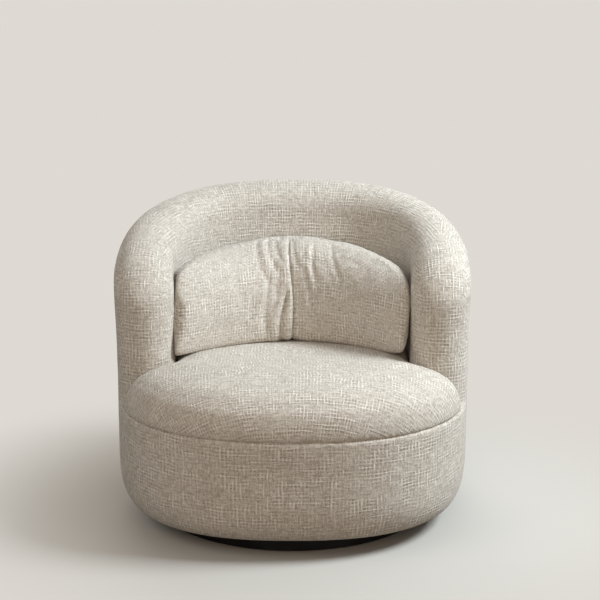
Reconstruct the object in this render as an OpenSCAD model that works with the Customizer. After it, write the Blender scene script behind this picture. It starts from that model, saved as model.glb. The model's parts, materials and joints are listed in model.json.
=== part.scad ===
// Swivel barrel chair: a round upholstered tub on a low turntable, with a domed seat and a loose
// lumbar cushion.
// Millimetres, +Z up. The origin is on the floor under the swivel axis, and the chair faces -Y.

/* [Overall] */
// Width over the arms
chair_w = 840; // [810:5:880]
// Depth from the front of the drum to the outside back
chair_d = 820; // [790:5:860]
// Height of the rim at the centre of the back
back_h = 735; // [700:5:780]
// Height of the rim over the middle of each arm
arm_h = 656; // [630:2:680]
// Squareness of the plan, where 2 is an ellipse
plan_power = 2.4; // [2.3:0.1:2.7]

/* [Drum] */
// Height of the seam between the drum and the seat
seam_z = 284; // [270:2:310]
// How far the drum's lower edge draws in
drum_edge_w = 60; // [50:1:75]
// Height over which the drum's lower edge draws in
drum_edge_h = 115; // [100:1:130]
// Roll at the drum's upper edge, in front of the arms
drum_roll_r = 8; // [5:1:14]
// Thickness of the padding on the outside
outer_pad_t = 25; // [22:1:28]

/* [Back and arms] */
// Thickness of the padded wall at its top
wall_t = 140; // [130:2:150]
// How much thicker the wall is at the seat, at the centre of the back
back_pitch = 60; // [40:2:70]
// Depth of the space for the frame inside the wall
frame_t = 35; // [30:1:40]
// How far the straight wall of each arm runs in front of the swivel axis
arm_reach = 100; // [80:5:120]
// Radius by which each arm's top rounds down to its front
arm_nose_r = 112; // [90:2:130]

/* [Seat] */
// Distance from the drum's outside to the seat seam
seat_inset = 8; // [6:1:14]
// Height of the seat's crown above the seam
crown_h = 130; // [114:1:144]
// Share of the crown lost from the front edge to the back
seat_pitch_share = 0.36; // [0.3:0.02:0.44]
// How full the seat's shoulders are
seat_fullness = 9; // [7:0.5:11]
// Height of the foam block in the seat
foam_h = 54; // [40:1:60]

/* [Lumbar cushion] */
// Height of the cushion at its middle
lumbar_h = 234; // [215:1:255]
// Thickness of the cushion at its middle
lumbar_t = 200; // [180:2:215]
// Gap between the cushion's ends and the arms
lumbar_side_gap = 7; // [6:1:16]
// How far the cushion's ends curve forward past the swivel axis, as a share of the depth inside the wall
lumbar_end_share = 0.24; // [0.12:0.02:0.3]
// How far the top's corners drop below its middle
lumbar_corner_drop = 8; // [2:1:20]
// Lean of the cushion in degrees
lumbar_lean = 12; // [8:1:14]
// Thickness of the cushion's cover and wrap
cover_t = 8; // [5:0.5:10]

/* [Frame] */
// Thickness of the deck board
deck_t = 15; // [12:1:18]
// Thickness of the seat ring, the ribs and the top rail
ply_t = 18; // [15:1:21]
// Depth of each drum rib
rib_depth = 90; // [70:2:100]
// Number of drum ribs
rib_count = 10; // [8:2:12]
// Width of each wall post
post_w = 45; // [35:1:50]
// Number of wall posts
post_count = 7; // [5:2:9]

/* [Seat springs] */
// Number of sinuous springs
spring_count = 5; // [3:2:5]
// Distance between neighbouring springs
spring_spacing = 84; // [76:1:88]
// Width of one spring
spring_w = 50; // [44:1:56]
// Length of one spring between its end bars
spring_span = 384; // [360:2:396]
// Distance between the bars of a spring, before it is fitted to the span
spring_pitch = 24; // [20:1:28]
// Thickness of the spring wire
wire_d = 3.8; // [3.2:0.2:4.4]

/* [Base] */
// Diameter of the plinth
plinth_d = 670; // [620:2:680]
// Thickness of the plinth
plinth_t = 26; // [24:1:30]
// Diameter of each glide
glide_d = 34; // [28:1:40]
// Thickness of each glide
glide_t = 4; // [3:0.5:6]
// Number of glides
glide_count = 8; // [6:1:10]

/* [Swivel bearing] */
// Side of each bearing plate
plate_side = 305; // [290:1:320]
// Thickness of each bearing plate
plate_t = 3; // [2.6:0.1:3.4]
// Distance between the bearing plates
race_gap = 4; // [3.8:0.1:4.6]
// Diameter of the circle on which the balls run
race_d = 240; // [224:2:250]
// Diameter of each ball
ball_d = 7; // [6.6:0.1:7.6]
// Number of balls
ball_count = 40; // [24:1:60]
// Distance of each fixing hole from the edges of its plate
plate_hole_edge = 20; // [16:1:24]

/* [Hidden] */

$fn = 48;

// Colours.
oatmeal = "#cfc7ba";
foam_cream = "#efe3bf";
fibre_white = "#f4f2ec";
plywood = "#cda873";
zinc = "#b9bcc0";
black = "#161616";

// Clearances, and the overrun of every cut.
fit_gap = 0.5;
post_gap = 1.5;
pad_gap = 0.8;
rest_gap = 0.3;
run_gap = 0.05;
overrun = 1;

// Half sizes of the plan, and the centre line of the wall.
half_w = chair_w / 2;
half_d = chair_d / 2;
wall_r = wall_t / 2;
inner_w = half_w - wall_t;
inner_d = half_d - wall_t;

// Levels.
plinth_top = glide_t + plinth_t;
race_z = plinth_top + plate_t + race_gap / 2;
drum_z = plinth_top + 2 * plate_t + race_gap;
deck_top = drum_z + deck_t;
ring_z = seam_z - ply_t;
back_spring_line = back_h - wall_r;

// Counts of steps along the swept pieces.
drum_steps = 72;
wall_steps = 42;
nose_steps = 5;
edge_arc_steps = 6;
roll_arc_steps = 3;
rim_arc_steps = 10;

function signed_power(v, p) = sign(v) * pow(abs(v), p);

// How far a superellipse of power p rises at share s of its run.
function bulge(s, p) = pow(max(0, 1 - pow(abs(s), p)), 1 / p);

// Point of the outside of the plan at angle t from +X, and the outward direction there.
function plan_outer(t) =
    [half_w * signed_power(cos(t), 2 / plan_power), half_d * signed_power(sin(t), 2 / plan_power)];

function plan_normal(t) =
    let (p = plan_outer(t),
        g = [signed_power(p[0] / half_w, plan_power - 1) / half_w,
            signed_power(p[1] / half_d, plan_power - 1) / half_d])
    g / norm(g);

// Point of the plan drawn in along its normal.
function plan_point(t, inset = 0) = plan_outer(t) - inset * plan_normal(t);

function plan_outline(inset) = [for (i = [0:drum_steps - 1]) plan_point(360 * i / drum_steps, inset)];

// Share of the way from the middle to a superellipse's edge at which a point lies.
function oval_share(p, rx, ry) =
    pow(pow(abs(p[0]) / rx, plan_power) + pow(abs(p[1]) / ry, plan_power), 1 / plan_power);

function steps_between(from, to, steps) = [for (i = [0:steps]) from + (to - from) * i / steps];

// Skins a list of equal rings, each turning right-handed about the way that the list goes.
// A closed skin joins its last ring to its first. An open one has ends, which fan out from each end
// ring's first point, or run across from one side of the ring to the other.
module skin(rings, closed = false, ends_across = false) {
    n = len(rings);
    m = len(rings[0]);
    last = closed ? n - 1 : n - 2;
    sides = [for (i = [0:last], j = [0:m - 1])
        let (near = i * m, far = ((i + 1) % n) * m, next = (j + 1) % m)
        each [[near + j, far + j, near + next], [near + next, far + j, far + next]]];
    end = (n - 1) * m;
    caps = closed ? []
        : ends_across
            ? [for (j = [1:m / 2 - 1]) each [[j, j + 1, m - j], [j, m - j, (m - j + 1) % m]]]
            : [for (j = [1:m - 2]) [0, j, j + 1]];
    far_caps = [for (f = caps) [end + f[0], end + f[2], end + f[1]]];
    polyhedron(points = [for (r = rings) each r], faces = concat(sides, caps, far_caps), convexity = 6);
}

// Puts its children on the plan at angle t, with local +X pointing outwards.
module at_plan(t, inset = 0) {
    p = plan_point(t, inset);
    n = plan_normal(t);
    translate([p[0], p[1], 0]) rotate(atan2(n[1], n[0])) children();
}

module at_corners(x, y) {
    for (sx = [-1, 1], sy = [-1, 1]) translate([sx * x, sy * y, 0]) children();
}

// The wall's stations, each [centre, normal, half thickness, top, how much of the back's pitch it has].

nose_angle = -asin(pow(arm_reach / half_d, plan_power / 2));
nose_turn = atan2(plan_normal(nose_angle)[1], plan_normal(nose_angle)[0]);
rim_slope = (back_h - arm_h) / (half_d - wall_r);

function rim_z(y) = arm_h + rim_slope * y;

function pitch_share(t) = pow(max(0, sin(t)), 2);

// How far the top falls at a distance from the arm's front.
function nose_fall(from_tip) =
    from_tip >= arm_nose_r ? 0 : arm_nose_r - sqrt(pow(arm_nose_r, 2) - pow(arm_nose_r - from_tip, 2));

function nose_root(x) = plan_point(x > 0 ? nose_angle : 180 - nose_angle, wall_r);

function wall_station(t) =
    let (c = plan_point(t, wall_r),
        top = rim_z(c[1]) - nose_fall(wall_r + norm(c - nose_root(c[0]))))
    [c, plan_normal(t), wall_r, top, pitch_share(t)];

// Station round the front of an arm, on the right where side is 1 and on the left where it is -1.
function nose_station(side, a) =
    let (c = nose_root(side),
        n = plan_normal(side > 0 ? nose_angle : 180 - nose_angle),
        tip = c + side * [n[1], -n[0]] * wall_r * sin(a))
    [tip, n, wall_r * cos(a), rim_z(tip[1]) - nose_fall(wall_r * (1 - sin(a))), 0];

nose_end_share = 0.94;
nose_turns = [for (i = [1:nose_steps]) 90 * nose_end_share * i / nose_steps];

wall_turns = steps_between(nose_angle, 180 - nose_angle, wall_steps);

wall_stations = concat(
    [for (i = [nose_steps - 1:-1:0]) nose_station(1, nose_turns[i])],
    [for (t = wall_turns) wall_station(t)],
    [for (i = [0:nose_steps - 1]) nose_station(-1, nose_turns[i])]);

// Point of a station's section. Across runs inwards from the wall's outside.
function section_point(s, across, z) =
    let (p = s[0] - s[1] * s[2] * (across / wall_r - 1))
    [p[0], p[1], z];

function spring_line(s) = s[3] - s[2];

// The space for the frame closes where the arm's front rounds in.
nose_slot_share = 0.1;

function slot_edge(s) = outer_pad_t + frame_t * (s[2] < wall_r ? nose_slot_share : 1);

// The seat's domed top.

seat_w = half_w - seat_inset;
seat_d = half_d - seat_inset;
seat_seam_share = 0.985;

function seat_top(p) =
    let (k = min(1, oval_share(p, seat_w, seat_d) * seat_seam_share))
    seam_z + crown_h * sqrt(1 - pow(k, seat_fullness))
        * (1 - seat_pitch_share * (p[1] + seat_d) / (2 * seat_d));

// The seat's plan runs round the inside of the wall, past each arm's front and out to the drum's edge.
seat_gap = 2;
seat_centre_share = 0.6;
seat_centre = [0, -arm_reach * seat_centre_share];
seat_wall_steps = 30;
seat_nose_steps = 6;
seat_front_steps = 28;
seat_nose_sweep = 86;
seat_front_share = 1.2;
seat_front_from = nose_angle - asin(wall_r / half_d) * seat_front_share;

function seat_nose_point(side, i) =
    let (a = nose_turn + 180 + seat_nose_sweep * i / seat_nose_steps,
        p = nose_root(1) + (wall_r + seat_gap) * [cos(a), sin(a)])
    [side * p[0], p[1]];

seat_edge = concat(
    [for (t = steps_between(nose_angle, 180 - nose_angle, seat_wall_steps))
        plan_point(t, wall_t + back_pitch * pitch_share(t) + seat_gap)],
    [for (i = [1:seat_nose_steps]) seat_nose_point(-1, i)],
    [for (t = steps_between(180 - seat_front_from, 360 + seat_front_from, seat_front_steps))
        plan_point(t, seat_inset)],
    [for (i = [seat_nose_steps:-1:1]) seat_nose_point(1, i)]);

function seat_at(share) = [for (e = seat_edge) seat_centre + (e - seat_centre) * share];

function seat_ring_at(share, z) = [for (p = seat_at(share)) [p[0], p[1], z]];

function seat_dome_ring(share, height_share) =
    [for (p = seat_at(share)) [p[0], p[1], seam_z + (seat_top(p) - seam_z) * height_share]];

// Each ring of the dome is [share of the way to the edge, share of the full height].
seat_dome_shares = [[1, 0.42], [0.998, 0.68], [0.99, 0.87], [0.975, 0.955], [0.95, 0.99],
    [0.91, 1], [0.85, 1], [0.74, 1], [0.58, 1], [0.38, 1], [0.16, 1]];
seat_core_share = 0.84;
seat_middle_share = 0.21;
seat_core_z = seam_z + foam_h;
decking_t = 1.2;

// Base.

module plinth() {
    color(black) difference() {
        translate([0, 0, glide_t]) cylinder(d = plinth_d, h = plinth_t, $fn = 120);
        lower_screw_places() cylinder(r = plate_screw_r + run_gap, h = 2 * plate_screw_l, center = true);
        translate([0, plate_hole_reach, glide_t - overrun])
            cylinder(d = access_hole_d, h = plinth_t + 2 * overrun);
    }
}

glide_edge = 12;

module glides() {
    color(black)
    for (i = [0:glide_count - 1])
        rotate(360 * (i + 0.5) / glide_count) translate([plinth_d / 2 - glide_edge - glide_d / 2, 0, 0])
            cylinder(d = glide_d, h = glide_t);
}

// Swivel bearing.

plate_hole_at = plate_side / 2 - plate_hole_edge;
plate_hole_reach = plate_hole_at * sqrt(2);
plate_screw_r = 2;
plate_screw_head_r = 4;
plate_screw_head_h = 2.4;
plate_screw_l = 18;
plate_window_d = 150;
plate_corner = 12;
access_hole_d = 20;
bolt_r = 3;
bolt_head_r = 5.5;
bolt_head_h = 2.2;
tee_r = 4;
tee_l = 10;
tee_flange_r = 9;
tee_flange_t = 1.4;
bolt_tip = 2;
cage_w = 14;
cage_t = 1.2;

module lower_screw_places() {
    translate([0, 0, plinth_top]) at_corners(plate_hole_at, plate_hole_at) children();
}

module bearing_plate() {
    a = plate_side / 2;
    b = a - plate_corner;
    linear_extrude(plate_t) difference() {
        polygon([[a, -b], [a, b], [b, a], [-b, a], [-a, b], [-a, -b], [-b, -a], [b, -a]]);
        circle(d = plate_window_d, $fn = 96);
    }
}

module race_groove() {
    translate([0, 0, race_z]) rotate_extrude($fn = 120)
        translate([race_d / 2, 0]) circle(d = ball_d + 2 * run_gap);
}

module lower_bearing_plate() {
    color(zinc) difference() {
        translate([0, 0, plinth_top]) bearing_plate();
        race_groove();
        lower_screw_places() {
            translate([0, 0, -overrun])
                cylinder(r = plate_screw_r + run_gap, h = plate_t + 2 * overrun);
            translate([0, 0, plate_t - plate_screw_head_h])
                cylinder(r1 = plate_screw_r + run_gap, r2 = plate_screw_head_r + run_gap,
                    h = plate_screw_head_h);
        }
    }
}

module lower_plate_screws() {
    color(zinc) lower_screw_places() {
        translate([0, 0, plate_t - plate_screw_l])
            cylinder(r = plate_screw_r, h = plate_screw_l - plate_screw_head_h);
        translate([0, 0, plate_t - plate_screw_head_h])
            cylinder(r1 = plate_screw_r, r2 = plate_screw_head_r, h = plate_screw_head_h);
    }
}

module ball_places() {
    for (i = [0:ball_count - 1])
        rotate(360 * i / ball_count) translate([race_d / 2, 0, race_z]) children();
}

module bearing_balls() {
    color(zinc) ball_places() sphere(d = ball_d, $fn = 24);
}

module ball_cage() {
    color(zinc) difference() {
        translate([0, 0, race_z - cage_t / 2]) linear_extrude(cage_t) difference() {
            circle(d = race_d + cage_w, $fn = 120);
            circle(d = race_d - cage_w, $fn = 120);
        }
        ball_places() cylinder(d = ball_d + 2 * run_gap, h = cage_t + 2 * overrun, center = true);
    }
}

module upper_bolt_places() {
    translate([0, 0, drum_z]) at_corners(plate_hole_at, plate_hole_at) children();
}

module upper_bearing_plate() {
    color(zinc) difference() {
        translate([0, 0, drum_z - plate_t]) bearing_plate();
        race_groove();
        upper_bolt_places() cylinder(r = bolt_r + fit_gap, h = 2 * (plate_t + overrun), center = true);
    }
}

module upper_plate_bolts() {
    color(zinc) upper_bolt_places() {
        translate([0, 0, -plate_t - bolt_head_h]) cylinder(r = bolt_head_r, h = bolt_head_h);
        translate([0, 0, -plate_t]) cylinder(r = bolt_r, h = plate_t + deck_t + bolt_tip);
    }
}

module tee_nuts() {
    color(zinc) upper_bolt_places() translate([0, 0, deck_t]) difference() {
        union() {
            translate([0, 0, -tee_l]) cylinder(r = tee_r, h = tee_l);
            cylinder(r = tee_flange_r, h = tee_flange_t);
        }
        cylinder(r = bolt_r + run_gap, h = 2 * (tee_l + overrun), center = true);
    }
}

// Frame of the drum and the wall.

module deck_board() {
    color(plywood) difference() {
        translate([0, 0, drum_z]) linear_extrude(deck_t) polygon(plan_outline(drum_edge_w + fit_gap));
        upper_bolt_places() cylinder(r = tee_r + run_gap, h = 2 * (deck_t + overrun), center = true);
    }
}

cover_lap = 5;
cloth_t = 0.8;

module dust_cover() {
    window = plate_side + 2 * fit_gap;
    color(black) translate([0, 0, drum_z - cloth_t]) linear_extrude(cloth_t) difference() {
        polygon(plan_outline(drum_edge_w - cover_lap));
        square(window, center = true);
    }
}

function rib_angle(i) = 360 * (i + 0.5) / rib_count;

ring_screw_r = 2.2;
ring_screw_head_r = 4.4;
ring_screw_head_h = 3;
ring_screw_l = 45;
ring_screw_shares = [0.3, 0.72];

module ring_screw_places() {
    for (i = [0:rib_count - 1], s = ring_screw_shares)
        at_plan(rib_angle(i), outer_pad_t + fit_gap + rib_depth * s) translate([0, 0, seam_z]) children();
}

// Screw hole of the ring and the ribs, from the seam down.
module ring_screw_hole() {
    translate([0, 0, -ring_screw_l - overrun])
        cylinder(r = ring_screw_r + run_gap, h = ring_screw_l + 2 * overrun);
    translate([0, 0, -ring_screw_head_h])
        cylinder(r1 = ring_screw_r + run_gap, r2 = ring_screw_head_r + run_gap, h = ring_screw_head_h);
}

module drum_ribs() {
    outside = outer_pad_t + fit_gap;
    foot = drum_edge_w + fit_gap;
    color(plywood) difference() {
        for (i = [0:rib_count - 1])
            at_plan(rib_angle(i)) rotate([90, 0, 0]) linear_extrude(ply_t, center = true) polygon([
                [-foot, deck_top], [-outside, drum_z + drum_edge_h], [-outside, ring_z],
                [-outside - rib_depth, ring_z], [-foot - rib_depth, deck_top]]);
        ring_screw_places() ring_screw_hole();
    }
}

clip_y = 12;
clip_h = 8;
clip_x_gap = 3;
opening_w = spring_count * spring_spacing + clip_y;
opening_d = spring_span + clip_y;
opening_r = 30;

module ring_opening() {
    translate(seat_centre) {
        square([opening_w, opening_d - 2 * opening_r], center = true);
        square([opening_w - 2 * opening_r, opening_d], center = true);
        at_corners(opening_w / 2 - opening_r, opening_d / 2 - opening_r) circle(opening_r);
    }
}

module seat_ring() {
    color(plywood) difference() {
        translate([0, 0, ring_z]) linear_extrude(ply_t) difference() {
            polygon(plan_outline(outer_pad_t + fit_gap));
            ring_opening();
        }
        ring_screw_places() ring_screw_hole();
    }
}

module ring_screws() {
    color(zinc) ring_screw_places() {
        translate([0, 0, -ring_screw_l]) cylinder(r = ring_screw_r, h = ring_screw_l - ring_screw_head_h);
        translate([0, 0, -ring_screw_head_h])
            cylinder(r1 = ring_screw_r, r2 = ring_screw_head_r, h = ring_screw_head_h);
    }
}

// The rail keeps back from the arms' fronts by this many steps, and the posts by this much of
// the plan's angle.
rail_end_steps = 1;
post_end_turn = 9;
post_top_gap = 0.9;
frame_outside = outer_pad_t + post_gap;
frame_inside = outer_pad_t + frame_t - post_gap;

function rail_ring(s) =
    let (top = spring_line(s) - pad_gap)
    [section_point(s, frame_outside, top), section_point(s, frame_outside, top - ply_t),
        section_point(s, frame_inside, top - ply_t), section_point(s, frame_inside, top)];

module top_rail() {
    color(plywood)
    skin([for (i = [rail_end_steps:wall_steps - rail_end_steps]) rail_ring(wall_station(wall_turns[i]))]);
}

module wall_posts() {
    from = nose_angle + post_end_turn;
    color(plywood) for (t = steps_between(from, 180 - from, post_count - 1)) {
        s = wall_station(t);
        tall = spring_line(s) - pad_gap - ply_t - post_top_gap - seam_z;
        rise = rim_slope * s[1][0] * post_w / 2;
        at_plan(t, frame_inside) translate([0, 0, seam_z]) rotate([90, 0, 90])
            linear_extrude(frame_inside - frame_outside)
                polygon([[-post_w / 2, 0], [post_w / 2, 0], [post_w / 2, tall + rise],
                    [-post_w / 2, tall - rise]]);
    }
}

// Seat springs. Each is a run of bars joined at alternate ends by half turns.

spring_z = seam_z - rest_gap - wire_d / 2;
bar_steps = 2 * round(spring_span / spring_pitch / 2);
bar_pitch = spring_span / bar_steps;
bar_l = spring_w - bar_pitch;

module spring_places() {
    for (i = [0:spring_count - 1])
        translate([seat_centre[0] + (i - (spring_count - 1) / 2) * spring_spacing, seat_centre[1], spring_z])
            children();
}

module sinuous_spring() {
    for (i = [0:bar_steps])
        translate([0, i * bar_pitch - spring_span / 2, 0]) rotate([0, 90, 0])
            cylinder(d = wire_d, h = bar_l, center = true);
    for (i = [0:bar_steps - 1])
        let (side = i % 2 == 0 ? 1 : -1)
        translate([side * bar_l / 2, (i + 0.5) * bar_pitch - spring_span / 2, 0]) rotate(-90 * side)
            rotate_extrude(angle = 180) translate([bar_pitch / 2, 0]) circle(d = wire_d);
}

module seat_springs() {
    color(zinc) spring_places() sinuous_spring();
}

module spring_clips() {
    slot = wire_d + 2 * run_gap;
    long = bar_l - clip_x_gap;
    color(zinc) spring_places() for (side = [-1, 1])
        translate([0, side * spring_span / 2, 0]) difference() {
            translate([-long / 2, -clip_y / 2, wire_d / 2 - clip_h]) cube([long, clip_y, clip_h]);
            rotate([0, 90, 0]) cylinder(d = slot, h = long + 2 * overrun, center = true);
            translate([-long / 2 - overrun, -slot / 2, 0])
                cube([long + 2 * overrun, slot, clip_h]);
        }
}

// Upholstery.

core_gap = 0.8;

module core_block(h) {
    linear_extrude(h) offset(delta = -core_gap) polygon(seat_at(seat_core_share));
}

module seat_decking() {
    color(black) translate([0, 0, seam_z]) core_block(decking_t);
}

module seat_foam() {
    color(foam_cream) translate([0, 0, seam_z + decking_t]) core_block(foam_h - decking_t - core_gap);
}

module seat_cushion() {
    color(oatmeal) skin(concat(
        [seat_ring_at(seat_middle_share, seat_core_z), seat_ring_at(seat_core_share, seat_core_z),
            seat_ring_at(seat_core_share, seam_z), seat_ring_at(seat_seam_share, seam_z)],
        [for (d = seat_dome_shares) seat_dome_ring(d[0], d[1])]));
}

// The drum's upper edge is rolled in front of the arms, and square where the wall stands on it.
front_from = 180 - seat_front_from;
front_to = 360 + seat_front_from;
square_roll = 0.4;
drum_edge_power = 2.7;

function drum_ring_at(t) =
    let (roll = t >= front_from && t <= front_to ? drum_roll_r : square_roll,
        at = function (inset, z) let (p = plan_point(t, inset)) [p[0], p[1], z])
    concat(
        [at(outer_pad_t, seam_z)],
        [for (a = steps_between(90, 0, roll_arc_steps))
            at(roll * (1 - cos(a)), seam_z - roll * (1 - sin(a)))],
        [for (a = steps_between(0, 90, edge_arc_steps))
            at(drum_edge_w * (1 - pow(cos(a), 2 / drum_edge_power)),
                drum_z + drum_edge_h * (1 - pow(sin(a), 2 / drum_edge_power)))],
        [at(drum_edge_w, deck_top), at(outer_pad_t, drum_z + drum_edge_h)]);

module drum_padding() {
    color(oatmeal) skin([for (i = [0:drum_steps - 1]) drum_ring_at(360 * i / drum_steps)], closed = true);
}

module outer_wall_padding() {
    color(oatmeal) skin([for (s = wall_stations) [
        section_point(s, 0, seam_z), section_point(s, outer_pad_t, seam_z),
        section_point(s, outer_pad_t, spring_line(s) - pad_gap),
        section_point(s, 0, spring_line(s) - pad_gap)]]);
}

module inner_wall_padding() {
    color(oatmeal) skin([for (s = wall_stations) concat(
        [section_point(s, slot_edge(s), spring_line(s)), section_point(s, slot_edge(s), seam_z),
            section_point(s, wall_t + back_pitch * s[4], seam_z)],
        [for (a = steps_between(0, 180, rim_arc_steps))
            section_point(s, wall_r * (1 + cos(a)), spring_line(s) + s[2] * sin(a))])]);
}

// The lumbar cushion stands on the seat, bends round the inside of the back and leans on it.
// Each point is set by its share along the cushion, its share up it, and its side: -1 front and 1 back.
// The top's corners are round and the foot is square, where it fills the space above the seat.

lumbar_back_gap = 3;
lumbar_front_share = 0.44;
lumbar_outline_power = 6;
lumbar_foot_outline_power = 12;
lumbar_front_power = 5;
lumbar_back_power = 2.6;
lumbar_edge_power = 2.6;
lumbar_foot_power = 5;
lumbar_foot_share = 0.97;
lumbar_seam_share = 0.1;
lumbar_seam_w = 24;
lumbar_half_w = inner_w - lumbar_side_gap;
lumbar_base_share = 0.6;
lumbar_base = seat_top([0, inner_d - back_pitch - lumbar_t * lumbar_base_share]) + rest_gap;
lumbar_z = lumbar_base + lumbar_h / 2;
lumbar_y = inner_d - back_pitch * (back_spring_line - lumbar_z) / (back_spring_line - seam_z)
    - lumbar_back_gap - lumbar_t * (1 - lumbar_front_share);
lumbar_bend = lumbar_y + inner_d * lumbar_end_share;

function lumbar_point(along, up, side, shell) =
    let (out = along * bulge(up, up > 0 ? lumbar_outline_power : lumbar_foot_outline_power),
        x = out * (lumbar_half_w - shell),
        bow = pow(x / lumbar_half_w, 2),
        depth = (lumbar_t * (side > 0 ? 1 - lumbar_front_share : lumbar_front_share) - shell)
            * bulge(up, up > 0 ? lumbar_edge_power : lumbar_foot_power)
            * bulge(along, side > 0 ? lumbar_back_power : lumbar_front_power)
            * (1 - lumbar_seam_share * exp(-pow(x / lumbar_seam_w, 2))),
        y = lumbar_y + up * lumbar_h / 2 * tan(lumbar_lean) - lumbar_bend * bow + side * depth,
        z = up > 0
            ? lumbar_z + up * (lumbar_h / 2 - shell - lumbar_corner_drop * bow)
            : lumbar_z + up / lumbar_foot_share * (lumbar_z - seat_top([x, y]) - rest_gap - shell))
    [x, y, z];

lumbar_half_run_shares = [0, 0.06, 0.14, 0.3, 0.48, 0.66, 0.82, 0.93];
lumbar_run_shares = concat(
    [for (i = [len(lumbar_half_run_shares) - 1:-1:1]) -lumbar_half_run_shares[i]], lumbar_half_run_shares);
lumbar_up_shares = [-lumbar_foot_share, -0.9, -0.76, -0.56, -0.3, 0, 0.3, 0.56, 0.76, 0.9, 0.97, 0.992];
lumbar_turns = len(lumbar_up_shares);

// A ring runs along the front from left to right and back along the back.
function lumbar_ring(up, shell) = concat(
    [lumbar_point(-1, up, -1, shell)],
    [for (a = lumbar_run_shares) lumbar_point(a, up, -1, shell)],
    [lumbar_point(1, up, 1, shell)],
    [for (i = [len(lumbar_run_shares) - 1:-1:0]) lumbar_point(lumbar_run_shares[i], up, 1, shell)]);

module lumbar_cover() {
    color(oatmeal) skin(concat(
        [for (i = [lumbar_turns - 2:-1:0]) lumbar_ring(lumbar_up_shares[i], cover_t)],
        [for (up = lumbar_up_shares) lumbar_ring(up, 0)]), ends_across = true);
}

insert_gap = 1.8;

module lumbar_insert() {
    color(fibre_white)
    skin([for (i = [1:lumbar_turns - 2]) lumbar_ring(lumbar_up_shares[i], cover_t + insert_gap)],
        ends_across = true);
}

zip_t = 2;

module lumbar_zip() {
    ring = lumbar_ring(lumbar_up_shares[0], cover_t + rest_gap);
    color(black)
    skin([for (up = [zip_t, 2 * zip_t]) [for (p = ring) p + [0, 0, up - cover_t]]], ends_across = true);
}

plinth();
glides();
lower_bearing_plate();
lower_plate_screws();
bearing_balls();
ball_cage();
upper_bearing_plate();
upper_plate_bolts();
tee_nuts();
deck_board();
dust_cover();
drum_ribs();
seat_ring();
ring_screws();
wall_posts();
top_rail();
seat_springs();
spring_clips();
seat_decking();
seat_foam();
seat_cushion();
drum_padding();
outer_wall_padding();
inner_wall_padding();
lumbar_cover();
lumbar_insert();
lumbar_zip();
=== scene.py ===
import json
import math
from types import SimpleNamespace

import bmesh
import bpy
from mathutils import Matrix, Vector, bvhtree, kdtree, noise


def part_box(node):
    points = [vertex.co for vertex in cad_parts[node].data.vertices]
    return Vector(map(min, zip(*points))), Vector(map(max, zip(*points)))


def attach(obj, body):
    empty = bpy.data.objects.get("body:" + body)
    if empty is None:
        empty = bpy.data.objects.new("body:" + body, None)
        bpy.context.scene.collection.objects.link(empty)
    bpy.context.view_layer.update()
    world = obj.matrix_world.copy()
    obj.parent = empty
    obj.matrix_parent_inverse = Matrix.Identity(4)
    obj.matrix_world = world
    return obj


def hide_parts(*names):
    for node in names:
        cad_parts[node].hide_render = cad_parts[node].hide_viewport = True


bl_info = {
    "name": "Swivel Barrel Chair",
    "version": (1, 0, 0),
    "blender": (4, 5, 0),
    "location": "3D View > Sidebar > Chair",
    "description": "Upholsters the frame of a swivel barrel chair and sets it on a pale floor",
    "category": "Add Mesh",
}

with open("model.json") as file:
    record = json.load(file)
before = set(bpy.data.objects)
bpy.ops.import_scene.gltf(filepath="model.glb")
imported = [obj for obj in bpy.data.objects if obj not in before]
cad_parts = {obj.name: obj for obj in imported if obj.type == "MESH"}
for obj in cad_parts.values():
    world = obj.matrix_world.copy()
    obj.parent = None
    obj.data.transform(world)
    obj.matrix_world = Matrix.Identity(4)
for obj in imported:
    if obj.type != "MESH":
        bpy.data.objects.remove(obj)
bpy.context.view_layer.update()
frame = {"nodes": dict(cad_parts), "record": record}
DRUM_LOW, DRUM_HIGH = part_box("drum_padding")
WALL_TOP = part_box("inner_wall_padding")[1].z
DECK_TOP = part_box("deck_board")[1].z

# Sizes and colours that a user would change

def linear(hex_colour):
    """Linear RGBA of an sRGB hex colour."""
    channels = [int(hex_colour[i:i + 2], 16) / 255 for i in (1, 3, 5)]
    return [c / 12.92 if c <= 0.04045 else ((c + 0.055) / 1.055) ** 2.4 for c in channels] + [1.0]


def share(name, default, about, **kind):
    return bpy.props.FloatProperty(name=name, default=default, description=about, **kind)


def length(name, default, about):
    return share(name, default, about, min=0, unit="LENGTH", subtype="DISTANCE")


def colour(name, hex_colour, about):
    return bpy.props.FloatVectorProperty(
        name=name, default=linear(hex_colour), size=4, min=0, max=1, description=about, subtype="COLOR")


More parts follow.
